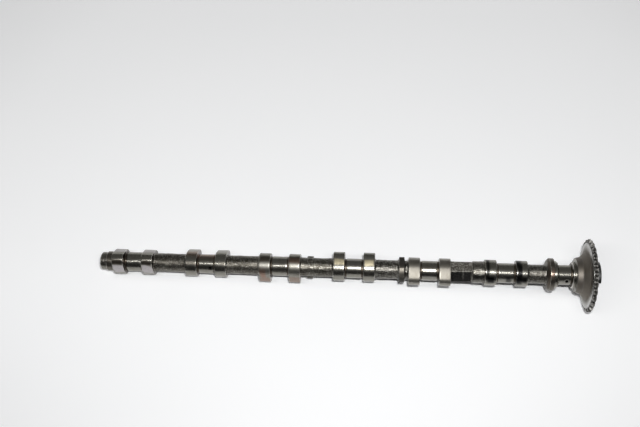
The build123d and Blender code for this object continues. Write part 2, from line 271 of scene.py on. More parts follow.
# ---------------------------------------------------------------- the cast shaft
def lobe_radius(theta, nose):
    """Lobe in polar form: each arc is r = u.C + sqrt((u.C)^2 - |C|^2 + R^2), with its
    centre C and radius R, and u the direction, measured from the nose."""
    away = np.abs(np.radians(turn_from(theta, nose)))
    nose_centre = BASE_RADIUS + LIFT - NOSE_RADIUS
    to_base, to_nose = FLANK_RADIUS - BASE_RADIUS, FLANK_RADIUS - NOSE_RADIUS
    along = (to_base**2 - to_nose**2 + nose_centre**2) / (2 * nose_centre)
    across = math.sqrt(to_base**2 - along**2)
    on_flank = along * np.cos(away) - across * np.sin(away)
    flank = on_flank + np.sqrt(on_flank**2 - to_base**2 + FLANK_RADIUS**2)
    on_nose = nose_centre * np.cos(away)
    nose_arc = on_nose + np.sqrt(np.maximum(on_nose**2 - nose_centre**2 + NOSE_RADIUS**2, 0))
    lean = math.atan2(across, nose_centre - along)
    nose_end = math.atan2(NOSE_RADIUS * math.sin(lean), nose_centre + NOSE_RADIUS * math.cos(lean))
    flank_end = math.atan2(across, -along)
    return np.where(away < nose_end, nose_arc, np.where(away < flank_end, flank, BASE_RADIUS))


def core_run(rows, start, end, rear_root=1.6, front_root=1.6):
    """As-cast stretch: round core with a quarter fillet up to each neighbour."""
    arc = np.radians([0.0, 30.0, 60.0, 90.0])
    back = arc[::-1]
    if rear_root > 0:
        rise = rear_root * (1 - np.cos(back))
        rows.lay(start + rear_root * (1 - np.sin(back)), CORE_RADIUS + rise, cast=1.0)
    count = max(2, round((end - start) / CORE_STEP))
    inside = np.linspace(start + rear_root, end - front_root, count)
    inside = inside[1:-1] if rear_root > 0 else inside[:-1]
    rows.lay(inside, CORE_RADIUS, cast=1.0)
    if front_root > 0:
        rise = front_root * (1 - np.cos(arc))
        rows.lay(end - front_root * (1 - np.sin(arc)), CORE_RADIUS + rise, cast=1.0)
    else:
        rows.lay([end], CORE_RADIUS, cast=1.0)


def lobe_pair(rows, cylinder):
    """Two lobes with the ground journal between two turned necks."""
    outline = lobe_radius(rows.theta, NOSE_ANGLES[cylinder])
    side_foot = np.full_like(outline, 12.9)
    neck = [12.3, 11.65, 11.3]
    for side in (-1, 1):
        rear, front = lobe_x(cylinder, side) - LOBE_HALF, lobe_x(cylinder, side) + LOBE_HALF
        if side == 1:
            start = lobe_x(cylinder, -1) + LOBE_HALF
            rows.lay([start, start + 0.25, start + 0.7], neck, neck=1.0)
            rows.lay([start + NECK_WIDTH], CORE_RADIUS, neck=1.0)
            extra = oil_rows(JOURNAL_HOLE_X) if cylinder == DRILLED_CYLINDER else None
            journal(rows, start + NECK_WIDTH, rear - NECK_WIDTH, extra)
            rows.lay([rear - NECK_WIDTH], CORE_RADIUS, neck=1.0)
            rows.lay([rear - 0.7, rear - 0.25, rear], neck[::-1], neck=1.0)
        rows.lay([rear, rear], np.stack([side_foot, outline - 0.7]), side=1.0)
        rows.rounded(rear, front, outline, 0.5, 0.5, LOBE_STEP, lobe=1.0)
        rows.lay([front, front], np.stack([outline - 0.7, side_foot]), side=1.0)


def oil_rows(x):
    """Places of the rows across an oil hole, one column's width apart."""
    return x + np.arange(-7, 8) * JOURNAL_RADIUS * ROUND / SHAFT_ANGLES


def journal(rows, start, end, extra=None, rear=JOURNAL_EDGE):
    """Ground journal with rounded edges, and rows added where an oil hole goes."""
    arc = np.radians([0.0, 45.0, 90.0])
    inward, drop = 1 - np.cos(arc), 1 - np.sin(arc)
    worn = column(1.0, 0.8, 0.0)
    if rear > 0:
        rows.lay(start + rear * inward, JOURNAL_RADIUS - rear * drop, ground=1.0, edge=worn)
    plain = np.linspace(start + rear, end - JOURNAL_EDGE, round((end - start) / JOURNAL_STEP))
    if extra is not None:
        plain = plain[(plain < extra[0] - 0.3) | (plain > extra[-1] + 0.3)]
        plain = np.sort(np.concatenate([plain, extra]))
    rows.lay(plain, JOURNAL_RADIUS, ground=1.0)
    x, radius = end - JOURNAL_EDGE * inward, JOURNAL_RADIUS - JOURNAL_EDGE * drop
    rows.lay(x[::-1], radius[::-1], ground=1.0, edge=worn[::-1])


def polygon_radius(theta, apothem, sides, corner):
    """Regular polygon in polar form, r = a / cos(angle from the nearest flat)."""
    step = ROUND / sides
    local = (theta - corner) % step - step / 2
    return apothem / np.cos(local)


def lug_radius(theta):
    """Two square pads: r = tip / cos a on the end face, half width / sin a on the sides."""
    away = np.abs(np.radians(turn_from(theta, LUG_ANGLE)))
    away = np.minimum(away, math.pi - away)
    end_face = LUG_TIP_RADIUS / np.cos(np.minimum(away, 1.2))
    side_face = LUG_HALF_WIDTH / np.maximum(np.sin(away), 1e-3)
    return np.maximum(np.minimum(end_face, side_face), CORE_RADIUS)


def rear_end(rows):
    """Lathe centre, bevelled stub, shoulder and the neck before the rear lobe."""
    rows.lay([REAR_END_X + 6.9, REAR_END_X, REAR_END_X], [0.25, 3.9, 4.3], cut=1.0)
    rows.lay([REAR_END_X], STUB_RADIUS - 1.2, cut=1.0)
    rows.lay([REAR_END_X + 0.15, REAR_END_X + 1.05], [10.0, 10.95], cast=0.5, edge=0.6)
    rows.lay(np.linspace(REAR_END_X + 1.3, SHOULDER_X - 0.3, 9), STUB_RADIUS, cast=0.35)
    rows.lay([SHOULDER_X, SHOULDER_X], [11.2, 11.6], cut=1.0)
    rows.lay([SHOULDER_X + 0.15, SHOULDER_X + 0.4], [11.85, SHOULDER_RADIUS], cast=0.5, edge=1.0)
    lobe = pair_x(6) - PAIR_HALF
    rows.lay(np.linspace(SHOULDER_X + 1.2, lobe - 1.0, 10), SHOULDER_RADIUS, cast=0.4)
    rows.lay([lobe - 0.8, lobe - 0.2, lobe], [12.0, 12.4, 12.8], neck=1.0)


def lugged_run(rows, start, end):
    """Cast stretch with the two driving lugs."""
    lug = start + LUG_TO_LOBE
    core_run(rows, start, lug, front_root=0)
    pads = lug_radius(rows.theta)
    lower = pads - 0.4
    raised = 0.5 * (pads > CORE_RADIUS + 0.4)
    rows.lay([lug, lug + 0.4], np.stack([lower, pads]).clip(CORE_RADIUS), cast=0.9, edge=raised)
    rows.lay(np.linspace(lug + 1.5, lug + 6.2, 5), pads, cast=0.9)
    ends = [lug + 7.3, lug + LUG_LENGTH]
    rows.lay(ends, np.stack([pads, lower]).clip(CORE_RADIUS), cast=0.9, edge=raised)
    core_run(rows, lug + LUG_LENGTH, end, rear_root=0)


def collared_run(rows, start, end):
    """Cast stretch with the index collar, cut back on one side to a flat."""
    collar = end - COLLAR_TO_LOBE - COLLAR_WIDTH
    core_run(rows, start, collar)
    from_flat = np.radians(turn_from(rows.theta, COLLAR_FLAT_ANGLE))
    flat = (COLLAR_RADIUS - COLLAR_FLAT_DEPTH) / np.maximum(np.cos(from_flat), 0.2)
    outline = np.minimum(COLLAR_RADIUS, flat)
    rows.rounded(collar, collar + COLLAR_WIDTH, outline, 0.7, 0.7, COLLAR_STEP, collar=1.0)
    core_run(rows, end - COLLAR_TO_LOBE, end)


def hexagon_run(rows, start, end):
    """Spanner hexagon with its front bevel, then the plain barrel."""
    corner = math.radians(HEXAGON_CORNER_ANGLE)
    six = polygon_radius(rows.theta, HEXAGON_FLAT_RADIUS, 6, corner)
    six = np.minimum(six, HEXAGON_CORNER_RADIUS)
    rows.lay([start, start + 0.3], np.stack([six + 0.5, six + 0.1]), cast=0.9)
    rows.lay(np.linspace(start + 1.2, start + 24.9, 17), six, cast=0.85, hexagon=1.0)
    bevel = np.stack([np.minimum(six, 13.35), np.minimum(six, 12.7)])
    rows.lay([start + 25.6, start + 26.3], bevel, cast=0.85, edge=0.7)
    rows.lay([start + HEXAGON_LENGTH] * 2, [12.65, 12.5], cut=1.0)
    rows.lay(np.linspace(start + 26.9, end - 0.8, 16), BARREL_RADIUS, cast=0.75)
    rows.lay([end - 0.4, end], [13.3, 13.8], neck=1.0)


def nose_end(rows):
    """Double thrust collar, front journal, flange, pilot and the hole for the bolt."""
    start = THRUST_X
    rows.lay([start, start], [13.2, 16.6], cut=1.0)
    bevel = [17.1, 17.65, 18.2, 18.75, 19.3]
    rows.lay(np.linspace(start + 0.2, start + 2.5, 5), bevel, cut=1.0)
    large = np.full(len(rows.theta), LARGE_THRUST_RADIUS)
    rows.rounded(start + 2.7, start + 8.0, large, 0.2, 0.5, COLLAR_STEP, thrust=1.0)
    rows.lay([start + 8.0], 16.6, cut=1.0)
    rows.lay([start + 8.05, start + 8.35], 15.9, neck=1.0)
    rows.lay([start + 8.4], 16.1, thrust=1.0)
    rows.lay(np.linspace(start + 8.7, start + 11.4, 4), SMALL_THRUST_RADIUS, thrust=1.0)
    rows.lay([start + 11.6, start + 12.3, start + 12.9], [16.05, 15.35, 14.75], cut=1.0, edge=0.5)
    rows.lay([start + 13.0], 14.4, cut=1.0)
    rows.lay([start + 13.0, start + 13.2, start + 13.5], [12.5, 12.05, JOURNAL_RADIUS], ground=1.0)
    journal(rows, start + 13.9, FRONT_JOURNAL_END_X, oil_rows(FRONT_HOLE_X), rear=0)
    rows.lay([FRONT_JOURNAL_END_X, 7.7, 8.5], [11.3, 11.3, 11.5], neck=1.0)
    rows.lay([8.75, 8.8, 8.85], [12.2, 13.0, 14.4], cut=1.0)
    rows.lay([9.0, 9.25, 9.5], [14.85, 15.3, 15.65], flange=1.0, edge=1.0)
    rows.lay([9.8, 10.6, 11.6, 12.6], FLANGE_RADIUS, flange=1.0)
    rows.lay([12.95, SEAT_X], [FLANGE_RADIUS, 15.6], flange=1.0, edge=0.5)
    rows.lay([SEAT_X, SEAT_X], [13.0, PILOT_RADIUS], cut=1.0)
    rows.lay([16.0, PILOT_END_X - 0.4, PILOT_END_X], [PILOT_RADIUS, PILOT_RADIUS, 9.6], ground=1.0)
    rows.lay([PILOT_END_X, 16.0, -13.4], BOLT_HOLE_RADIUS, cut=1.0)


def shaft_rows(theta):
    """The whole shaft from the rear end to the pilot, stage by stage."""
    rows = Rows(theta)
    rear_end(rows)
    runs = {4: lugged_run, 3: collared_run, 2: hexagon_run}
    for cylinder in (6, 5, 4, 3, 2, 1):
        lobe_pair(rows, cylinder)
        start = pair_x(cylinder) + PAIR_HALF
        if cylinder > 1:
            end = start + CYLINDER_PITCH - 2 * PAIR_HALF
            runs.get(cylinder, core_run)(rows, start, end)
        else:
            core_run(rows, start, THRUST_X)
    nose_end(rows)
    return rows.done()


def drill(x, theta, radius, hole_x, hole_angle):
    """Turn the square rings of columns and rows about a place into round ones, and sink
    the inner ones: ring k goes to the circle of radius reach[k], at depth sink[k]."""
    row = np.argmin(np.abs(x[:, 0] - hole_x))
    middle = int(round(hole_angle / 360.0 * theta.shape[1])) % theta.shape[1]
    reach = np.array([0.0, 0.7, 1.3, 1.74, OIL_HOLE_RADIUS, 2.1, 2.6])
    sink = np.array([OIL_HOLE_DEPTH] * 4 + [0.25, 0.0, 0.0])
    spread = np.arange(-6, 7)
    i, j = np.meshgrid(row + spread, middle + spread, indexing="ij")
    ring = np.maximum(*np.abs(np.meshgrid(spread, spread, indexing="ij")))
    u = x[i, j] - x[row, middle]
    v = (theta[i, j] - theta[row, middle]) * JOURNAL_RADIUS
    straight = np.maximum(np.hypot(u, v), 1e-9)
    kept = smooth(4.5, 6.2, ring)
    wanted = reach[ring] * (1 - kept) + straight * kept
    x[i, j] = x[row, middle] + u / straight * wanted
    theta[i, j] = theta[row, middle] + v / straight * wanted / JOURNAL_RADIUS
    radius[i, j] -= sink[ring]
    return i, j, ring


# ---------------------------------------------------------------- stains of the shaft
# Places along the shaft, and a span of angles that has no border
FLATS_END_X = -109.0
ON_COLLAR, ON_THRUST = (-196.6, -189.0), (-18.6, -12.2)
ALL_ROUND = (-180, 540)


def patch(x, theta, start, end, first, last, soft=0.7, fade=7.0):
    """Stain over a stretch of the shaft and a span of angles: 1 inside, and fading at its
    borders over soft millimetres and fade degrees."""
    along = smooth(start - soft, start + soft, x) * (1 - smooth(end - soft, end + soft, x))
    half = (last - first) / 2
    away = np.abs(turn_from(theta, first + half))
    return along * (1 - smooth(half - fade, half + fade, away))


def by_lobe(strength, cylinder, side, start, end, *angles):
    """Patch from start to end, both counted from the middle of a lobe."""
    middle = lobe_x(cylinder, side)
    return strength, middle + start, middle + end, *angles


def on_lobe(strength, cylinder, side, *angles):
    """Patch over the whole width of a lobe."""
    return by_lobe(strength, cylinder, side, -LOBE_HALF, LOBE_HALF, *angles)


def stain_marks(x, theta, marks, ragged):
    """Oil films, heat tints, black oil, and painted highlight, reflection and shade, by place: the
    greatest of the patches laid on each.

    A patch is its strength, start, end, first and last angle, and its borders if they are
    not the usual ones. ragged shifts every border a little, so that none is straight.
    """
    x = x + 0.5 * ragged
    theta = theta + 0.035 * np.roll(ragged, 40, axis=1)

    def over(*patches):
        """Greatest of several patches, each with its strength."""
        return np.max([share * patch(x, theta, *rest) for share, *rest in patches], axis=0)

    film = over(
        on_lobe(0.35, 2, -1, 50, 150), on_lobe(0.35, 2, 1, 50, 150),
        on_lobe(0.8, 6, -1, 103, 121, 0.4, 4), on_lobe(0.7, 6, 1, 103, 121, 0.4, 4),
        (0.45, SHOULDER_X, pair_x(6) - PAIR_HALF, 20, 190, 0.6, 12),
        on_lobe(0.5, 5, -1, 96, 118), by_lobe(0.45, 5, 1, -2, 5, 92, 112),
        on_lobe(0.8, 4, -1, 58, 88), on_lobe(0.85, 4, 1, 56, 90),
        (0.5, pair_x(5) - 9, pair_x(5) + 9, 62, 92), (0.4, pair_x(4) - 9, pair_x(4) + 9, 128, 150),
        (0.6, *ON_THRUST, 20, 80), (0.6, *ON_THRUST, 122, 200),
    )
    # On the necks the film colour is painted shade in the grooves beside the lobes.
    for mark, share in (("neck", 0.9), ("collar", 0.5), ("flange", 0.15), ("cut", 0.85)):
        film = np.maximum(film, share * marks[mark])
    # Painted highlight: a bright warm band on the flanks of the cylinder-3 lobes, where they face
    # the lamp.
    straw = over(*[
        (1.0, lobe_x(3, side) - LOBE_HALF + 0.9, lobe_x(3, side) + LOBE_HALF - 0.6, 67, 92, 0.4, 4)
        for side in (-1, 1)
    ])
    copper = over(
        by_lobe(0.85, 4, -1, -5.5, 2.5, 124, 175, 1.5, 12),
        on_lobe(0.6, 4, -1, 172, 215), on_lobe(0.45, 4, 1, 165, 215),
        (0.6, -18.2, -13.0, 84, 122, 0.4, 9), on_lobe(0.35, 4, 1, 66, 92),
        (0.4, lobe_x(5, -1) - LOBE_HALF, lobe_x(5, 1) - LOBE_HALF, 30, 70, 1.0, 12),
    )
    # Black oil patches, with painted shade among them.
    soot = over(
        by_lobe(0.9, 1, -1, -6.0, -1.8, 20, 150, 0.8, 14),
        by_lobe(0.95, 1, -1, -4.6, 4.4, 121, 158, 1.2, 9),
        by_lobe(0.95, 1, 1, -6.9, -0.6, 20, 165, 0.8, 14),
        by_lobe(0.9, 1, 1, -6.0, 5.8, 122, 152, 1.2, 9),
        # The first patch on the next line is painted shade: a dark band across the underside of
        # the first cylinder's journal, standing in for a dark reflection.
        (0.75, -69.4, -63.6, 130, 178), (0.5, -77.0, -73.4, 96, 118),
        (0.75, -107.0, -94.5, 122, 150, 0.8, 9),
        (0.4, lobe_x(2, 1) + 9, FLATS_END_X, 108, 168, 0.4, 4),
        (0.9, -120.0, -109.2, 104, 168, 1.0, 3), (0.92, -134.4, -120.0, 106, 168, 1.0, 3),
        (0.5, *ON_COLLAR, 20, 88, 0.3, 6), (0.7, *ON_COLLAR, 140, 200, 0.3, 9),
    )
    satin = over(
        on_lobe(0.85, 2, -1, 60, 150), on_lobe(0.85, 2, 1, 60, 150),
        on_lobe(0.5, 4, -1, 50, 150), on_lobe(0.45, 4, 1, 50, 150),
    )
    satin = np.maximum(satin, 0.8 * marks["collar"])
    satin = np.maximum(satin, marks["hexagon"])
    # Painted reflection: lighter, faintly purple lower and upper flank facets on the rearmost
    # lobes, where they mirror the table and the room.
    violet = over(
        on_lobe(1.0, 6, -1, 124, 168, 0.5, 4), on_lobe(1.0, 6, 1, 124, 168, 0.5, 4),
        on_lobe(0.6, 6, -1, 28, 60), on_lobe(0.6, 6, 1, 28, 60),
    )
    wet = over(
        (1.0, pair_x(3) + PAIR_HALF, pair_x(2) - PAIR_HALF, *ALL_ROUND),
        (0.6, pair_x(1) + PAIR_HALF, THRUST_X, *ALL_ROUND),
        (0.8, FLATS_END_X, pair_x(1) - PAIR_HALF, *ALL_ROUND),
        (0.7, REAR_END_X, SHOULDER_X, *ALL_ROUND),
    )
    grit = np.maximum(0.5 * wet, marks["hexagon"])
    marks.update(film=film, straw=straw, copper=copper, soot=soot)
    marks.update(satin=satin, violet=violet, wet=wet, grit=grit)


def build_shaft():
    """The shaft with its cast skin, its drilled oil holes and the marks of its finish."""
    theta = np.arange(SHAFT_ANGLES) * ROUND / SHAFT_ANGLES
    x, radius, marks = shaft_rows(theta)
    coarse = on_rows(cloud(NOISE_ROWS, SHAFT_ANGLES, 9.0, 7.3), x)
    fine = on_rows(cloud(NOISE_ROWS, SHAFT_ANGLES, 2.4, 2.0), x)
    flats = smooth(0.0, 0.9, marks["hexagon"])
    radius = radius + marks["cast"] * (1 - flats * 0.7) * (0.07 * coarse + 0.055 * fine)
    radius += marks["neck"] * 0.03 * fine
    seam = sum(bell(turn_from(theta, middle), SEAM_SPREAD) for middle in SEAM_ANGLES)
    radius += marks["cast"] * (1 - flats) * SEAM_HEIGHT * seam
    grid_x = np.broadcast_to(x[:, None], radius.shape).copy()
    grid_theta = np.broadcast_to(theta, radius.shape).copy()
    hole = np.zeros_like(radius)
    for place in ((FRONT_HOLE_X, FRONT_HOLE_ANGLE), (JOURNAL_HOLE_X, JOURNAL_HOLE_ANGLE)):
        i, j, ring = drill(grid_x, grid_theta, radius, *place)
        hole[i, j] = np.maximum(hole[i, j], smooth(4.4, 3.4, ring))
    marks["hole"] = hole
    ragged = on_rows(cloud(NOISE_ROWS, SHAFT_ANGLES, 7.0, 5.0), x)
    stain_marks(grid_x, grid_theta, marks, ragged)
    # Painted shade inside the drilled oil holes and round their rims.
    marks["soot"] = np.maximum(marks["soot"], hole)
    points = about_axis(grid_x, radius, grid_theta)
    ends = ((LATHE_CENTRE_X, 0.0, 0.0), (BOLT_HOLE_FLOOR_X, 0.0, 0.0))
    return skin("camshaft.casting", points, marks, poles=ends, sharp=34.0)


# ---------------------------------------------------------------- the chain wheel
def tooth_outline():
    """Half a tooth pitch from the middle of a gap: seat arc, flank arc, tip land."""
    seat = np.linspace(0.0, SEAT_HALF_ANGLE, 6)
    seat_points = [PITCH_RADIUS - SEAT_RADIUS * np.cos(seat), SEAT_RADIUS * np.sin(seat)]
    reach = SEAT_RADIUS + TOOTH_FLANK_RADIUS
    across = reach * math.sin(SEAT_HALF_ANGLE)
    centre = np.array([PITCH_RADIUS - reach * math.cos(SEAT_HALF_ANGLE), across])
    distance = float(np.hypot(*centre))
    squares = TIP_RADIUS**2 - distance**2 - TOOTH_FLANK_RADIUS**2
    to_tip = math.acos(squares / (2 * distance * TOOTH_FLANK_RADIUS))
    flank_end = math.atan2(centre[1], centre[0]) - to_tip
    flank = np.linspace(-SEAT_HALF_ANGLE, flank_end, 5)[1:]
    flank_points = centre + TOOTH_FLANK_RADIUS * np.stack([np.cos(flank), np.sin(flank)], -1)
    points = np.vstack([np.stack(seat_points, -1), flank_points])
    angle = np.arctan2(points[:, 1], points[:, 0])
    land = np.linspace(angle[-1], math.pi / TEETH, 3)[1:]
    radius = np.hypot(*points.T)
    return np.concatenate([angle, land]), np.concatenate([radius, np.full(2, TIP_RADIUS)])


def wheel_outline():
    """All teeth: angles and radii, with a gap's middle at +Z."""
    angle, radius = tooth_outline()
    one_angle = np.concatenate([-angle[:0:-1], angle[:-1]])
    one_radius = np.concatenate([radius[:0:-1], radius[:-1]])
    starts = math.pi / 2 + np.arange(TEETH)[:, None] * ROUND / TEETH
    return (starts + one_angle).reshape(-1), np.tile(one_radius, TEETH)


def build_wheel():
    """Bell-shaped hub, web and toothed rim: turned rows, each cut back to the teeth."""
    theta, outline = wheel_outline()
    rows = Rows(theta)
    rows.lay([HUB_FRONT_X, 21.0, SEAT_X + 0.3], BORE_RADIUS, cut=1.0)
    rows.lay([SEAT_X, SEAT_X], [10.4, 20.2], cut=1.0)
    hub = [(13.26, 20.5), (13.45, 20.7), (15.0, 21.2), (17.0, 21.75), (18.6, 22.15), (19.3, 22.45)]
    dome = [(19.9, 22.95), (20.6, 23.65), (21.6, 24.7), (22.6, 25.75), (23.6, 26.75),
            (24.5, 27.6), (25.2, 28.2), (25.8, 28.65), (26.2, 28.95), (26.37, 29.3)]
    rows.lay(*np.transpose(hub), hub=1.0)
    rows.lay(*np.transpose(dome), bell=1.0)
    for reach, share in (
            (29.9, 0.0), (31.0, 0.1), (32.5, 0.3), (34.5, 0.6), (37.0, 0.9), (38.3, 1.0)):
        rows.lay([WEB_REAR_X], reach, web=share, bell=1.0 - share)
    rows.lay([26.5, 26.75, 27.02], [38.65, 38.88, 38.9], web=1.0, edge=1.0)
    for x, reach, worn in (
            (RIM_REAR_X, 39.0, 0), (RIM_REAR_X, 40.2, 0), (27.12, 41.0, 0.3), (27.3, 41.6, 0.6),
            (27.7, 42.7, 0.4), (28.0, 43.35, 0.9), (28.25, TIP_RADIUS, 0.8),
            (28.9, TIP_RADIUS, 0.1), (29.45, TIP_RADIUS, 0.0), (30.0, TIP_RADIUS, 0.1),
            (30.65, TIP_RADIUS, 0.8), (30.9, 43.35, 0.9), (31.2, 42.7, 0.4),
            (31.6, 41.6, 0.6), (31.78, 41.0, 0.3), (RIM_FRONT_X, 40.2, 0)):
        rows.lay([x], np.minimum(outline, reach), rim=1.0, edge=worn)
    rows.lay([RIM_FRONT_X] * 4, [38.9, 35.0, 30.0, 25.3], face=1.0)
    rows.lay([31.65, 31.3], [25.1, RECESS_RADIUS], face=1.0, edge=0.6)
    arc = np.radians(np.linspace(0, 90, 5))
    rows.lay(HUB_FRONT_X + RECESS_FILLET - RECESS_FILLET * np.sin(arc),
             RECESS_RADIUS - RECESS_FILLET + RECESS_FILLET * np.cos(arc), face=1.0)
    rows.lay([HUB_FRONT_X] * 3, [21.0, 16.0, 10.6], face=1.0)
    x, radius, marks = rows.done()
    # Painted shade: the tooth gaps are darkened, less where they face the camera and the lamp.
    gap_shade_strength = 1 - 0.6 * bell(turn_from(theta, GAP_LIT_ANGLE), GAP_LIT_SPREAD)
    marks["gap"] = smooth(42.4, 40.2, outline) * gap_shade_strength * marks["rim"]
    points = about_axis(x[:, None], radius, theta)
    return skin("sprocket.wheel", points, marks, loop=True, sharp=28.0)


# ---------------------------------------------------------------- plate and bolt
def build_plate():
    """Pressed cup whose lip stands up round half of its edge: the lip's height is a
    function of the angle, full inside its span and nothing outside."""
    even = np.linspace(0, ROUND, 181)[:-1]
    ends = np.radians([LIP_MIDDLE_ANGLE - LIP_HALF_SPAN, LIP_MIDDLE_ANGLE + LIP_HALF_SPAN])
    close = [ends + shift for shift in np.radians([-0.35, -0.02, 0.02, 0.35])]
    theta = np.concatenate([even, np.concatenate(close) % ROUND])
    theta = np.unique(np.round(theta, 7))
    inside = np.abs(turn_from(theta, LIP_MIDDLE_ANGLE)) <= LIP_HALF_SPAN
    tall = np.where(inside, LIP_FRONT_X, PLATE_FRONT_X)
    soft = np.where(inside, LIP_EDGE, 0.0)
    rear, front, bend = HUB_FRONT_X, PLATE_FRONT_X, PLATE_BEND
    outer, inner, hole = PLATE_RADIUS, LIP_INNER_RADIUS, PLATE_HOLE_RADIUS
    section = [
        (rear, hole), (rear, 11.0), (rear, outer - bend), (rear + 0.35, outer - 0.35),
        (rear + bend, outer), (0.5 * (rear + bend + tall), outer), (tall - soft, outer),
        (tall, outer - soft), (tall, inner + soft), (tall - soft, inner),
        (0.6 * front + 0.4 * tall, inner), (front, inner), (front, inner - 0.6),
        (front, 11.0), (front, hole)]
    x = np.stack([np.broadcast_to(place, theta.shape) for place, _ in section])
    radius = np.stack([np.broadcast_to(reach, theta.shape) for _, reach in section])
    return skin("pulse_plate.cup", about_axis(x, radius, theta), loop=True, sharp=32.0)


def build_bolt():
    """Flanged hexagon bolt: r is the least of the hexagon and the head's bevel cone."""
    theta = np.arange(BOLT_ANGLES) * ROUND / BOLT_ANGLES
    six = polygon_radius(theta, BOLT_FLAT_RADIUS, 6, 0.0)
    shank, flange = BOLT_RADIUS, BOLT_FLANGE_RADIUS
    rows = Rows(theta)
    rows.lay([-9.75, -9.0, 10.0, 29.0], [5.2, shank, shank, shank])
    rows.lay([PLATE_FRONT_X], 6.1)
    rows.lay([PLATE_FRONT_X, 29.3, 30.6, 31.2, 31.5], [12.2, flange, flange, 12.2, 11.8], edge=0.3)
    rows.lay([31.95, 32.1], np.stack([np.maximum(six + 0.35, 10.3), six + 0.1]))
    rows.lay([32.6, 35.0, 37.6], six)
    for x, reach in ((38.2, 10.35), (38.7, 10.0), (39.2, 9.5), (39.5, 9.0), (BOLT_HEAD_X, 8.7)):
        rows.lay([x], np.minimum(six, reach), edge=0.7)
    rows.lay([BOLT_HEAD_X, 39.25, BOLT_DISH_X], [7.4, 6.9, 3.0])
    x, radius, marks = rows.done()
    points = about_axis(x[:, None], radius, theta)
    ends = ((BOLT_END_X, 0.0, 0.0), (BOLT_DISH_X, 0.0, 0.0))
    return skin("sprocket_bolt.flanged", points, marks, poles=ends, sharp=28.0)


# ---------------------------------------------------------------- shader wiring
class Wiring:
    """Adds nodes to one tree; an input is given as a value or as another node's socket."""

    def __init__(self, tree):
        self.tree = tree

    def add(self, kind, inputs=None, **settings):
        """A node with its settings, and its inputs by name or number."""
        node = self.tree.nodes.new("ShaderNode" + kind)
        for setting, value in settings.items():
            setattr(node, setting, value)
        for place, value in (inputs or {}).items():
            if isinstance(value, bpy.types.NodeSocket):
                self.tree.links.new(value, node.inputs[place])
            else:
                node.inputs[place].default_value = value
        return node

    def feed(self, sockets, **values):
        """Links into sockets by name, with _ for a space."""
        for name, value in values.items():
            self.tree.links.new(value, sockets[name.replace("_", " ")])

    def placed(self, tree, **inputs):
        """Outputs of a node group, placed with its own values."""
        return self.add("Group", inputs, node_tree=tree).outputs

    def coordinates(self):
        """Place on the object, in metres."""
        return self.add("TexCoord").outputs["Object"]

    def math(self, operation, first, second=0.5):
        """One arithmetic step."""
        return self.add("Math", {0: first, 1: second}, operation=operation).outputs[0]

    def times(self, first, second):
        """Product."""
        return self.math("MULTIPLY", first, second)

    def most(self, first, second):
        """Greater of two."""
        return self.math("MAXIMUM", first, second)

    def scaled(self, value, low, high, to_low=0.0, to_high=1.0):
        """Value mapped from low..high to another span, smoothly, and held at its ends."""
        inputs = {0: value, 1: low, 2: high, 3: to_low, 4: to_high}
        return self.add("MapRange", inputs, interpolation_type="SMOOTHSTEP").outputs[0]

    def mixed(self, share, first, second):
        """Colour between two others."""
        return self.add("Mix", {0: share, 6: first, 7: second}, data_type="RGBA").outputs[2]

    def between(self, share, first, second):
        """Number between two others."""
        return self.add("Mix", {0: share, 2: first, 3: second}, data_type="FLOAT").outputs[0]

    def attribute(self, name):
        """A mark laid on the mesh, as a number."""
        return self.add("Attribute", attribute_name=name).outputs["Fac"]

    def tinted(self, colour, **tints):
        """Colour covered where the mesh has marks, one after another."""
        for name, tint in tints.items():
            colour = self.mixed(self.attribute(name), colour, tint)
        return colour

    def noise(self, vector, scale, detail, roughness):
        """Noise value at a scale in turns for each metre."""
        inputs = {"Vector": vector, "Scale": scale, "Detail": detail, "Roughness": roughness}
        return self.add("TexNoise", inputs).outputs["Fac"]

    def relief(self, height, distance, strength):
        """Normal bent by a height, whose unit is distance in metres."""
        inputs = {"Height": height, "Distance": distance, "Strength": strength}
        return self.add("Bump", inputs).outputs["Normal"]

    def seen(self):
        """1 where a ray shows the surface to the camera, 0 where it only carries light."""
        path = self.add("LightPath").outputs
        seen = self.most(path["Is Camera Ray"], path["Is Glossy Ray"])
        return self.most(seen, path["Is Transmission Ray"])


def group(name, inputs, outputs):
    """Empty node group with named sockets: its wiring, what it is given and its outputs."""
    tree = bpy.data.node_groups.new(name, "ShaderNodeTree")
    for label, value in inputs.items():
        socket = tree.interface.new_socket(label, in_out="INPUT", socket_type="NodeSocketFloat")
        socket.default_value = value
    for label in outputs:
        tree.interface.new_socket(label, in_out="OUTPUT", socket_type="NodeSocketFloat")
    ends = tree.nodes.new("NodeGroupInput").outputs, tree.nodes.new("NodeGroupOutput").inputs
    return Wiring(tree), *ends


def stretched(wiring, along, around):
    """Object coordinates stretched along the shaft and across it."""
    place = wiring.coordinates()
    scale = wiring.add("CombineXYZ", {0: along, 1: around, 2: around}).outputs[0]
    return wiring.add("VectorMath", {0: place, 1: scale}, operation="MULTIPLY").outputs[0]


def grinding_group():
    """Fine rings left by the grinding wheel: noise squeezed along the shaft."""
    sockets = {"Rings": 2600.0, "Scatter": 60.0}
    wiring, given, out = group("grinding marks", sockets, ("Rings", "Patches"))
    fine = wiring.noise(stretched(wiring, given["Rings"], given["Scatter"]), 1.0, 4.0, 0.7)
    broad = wiring.noise(stretched(wiring, 320.0, 90.0), 1.0, 3.0, 0.6)
    wiring.feed(out, Rings=fine, Patches=broad)
    return wiring.tree


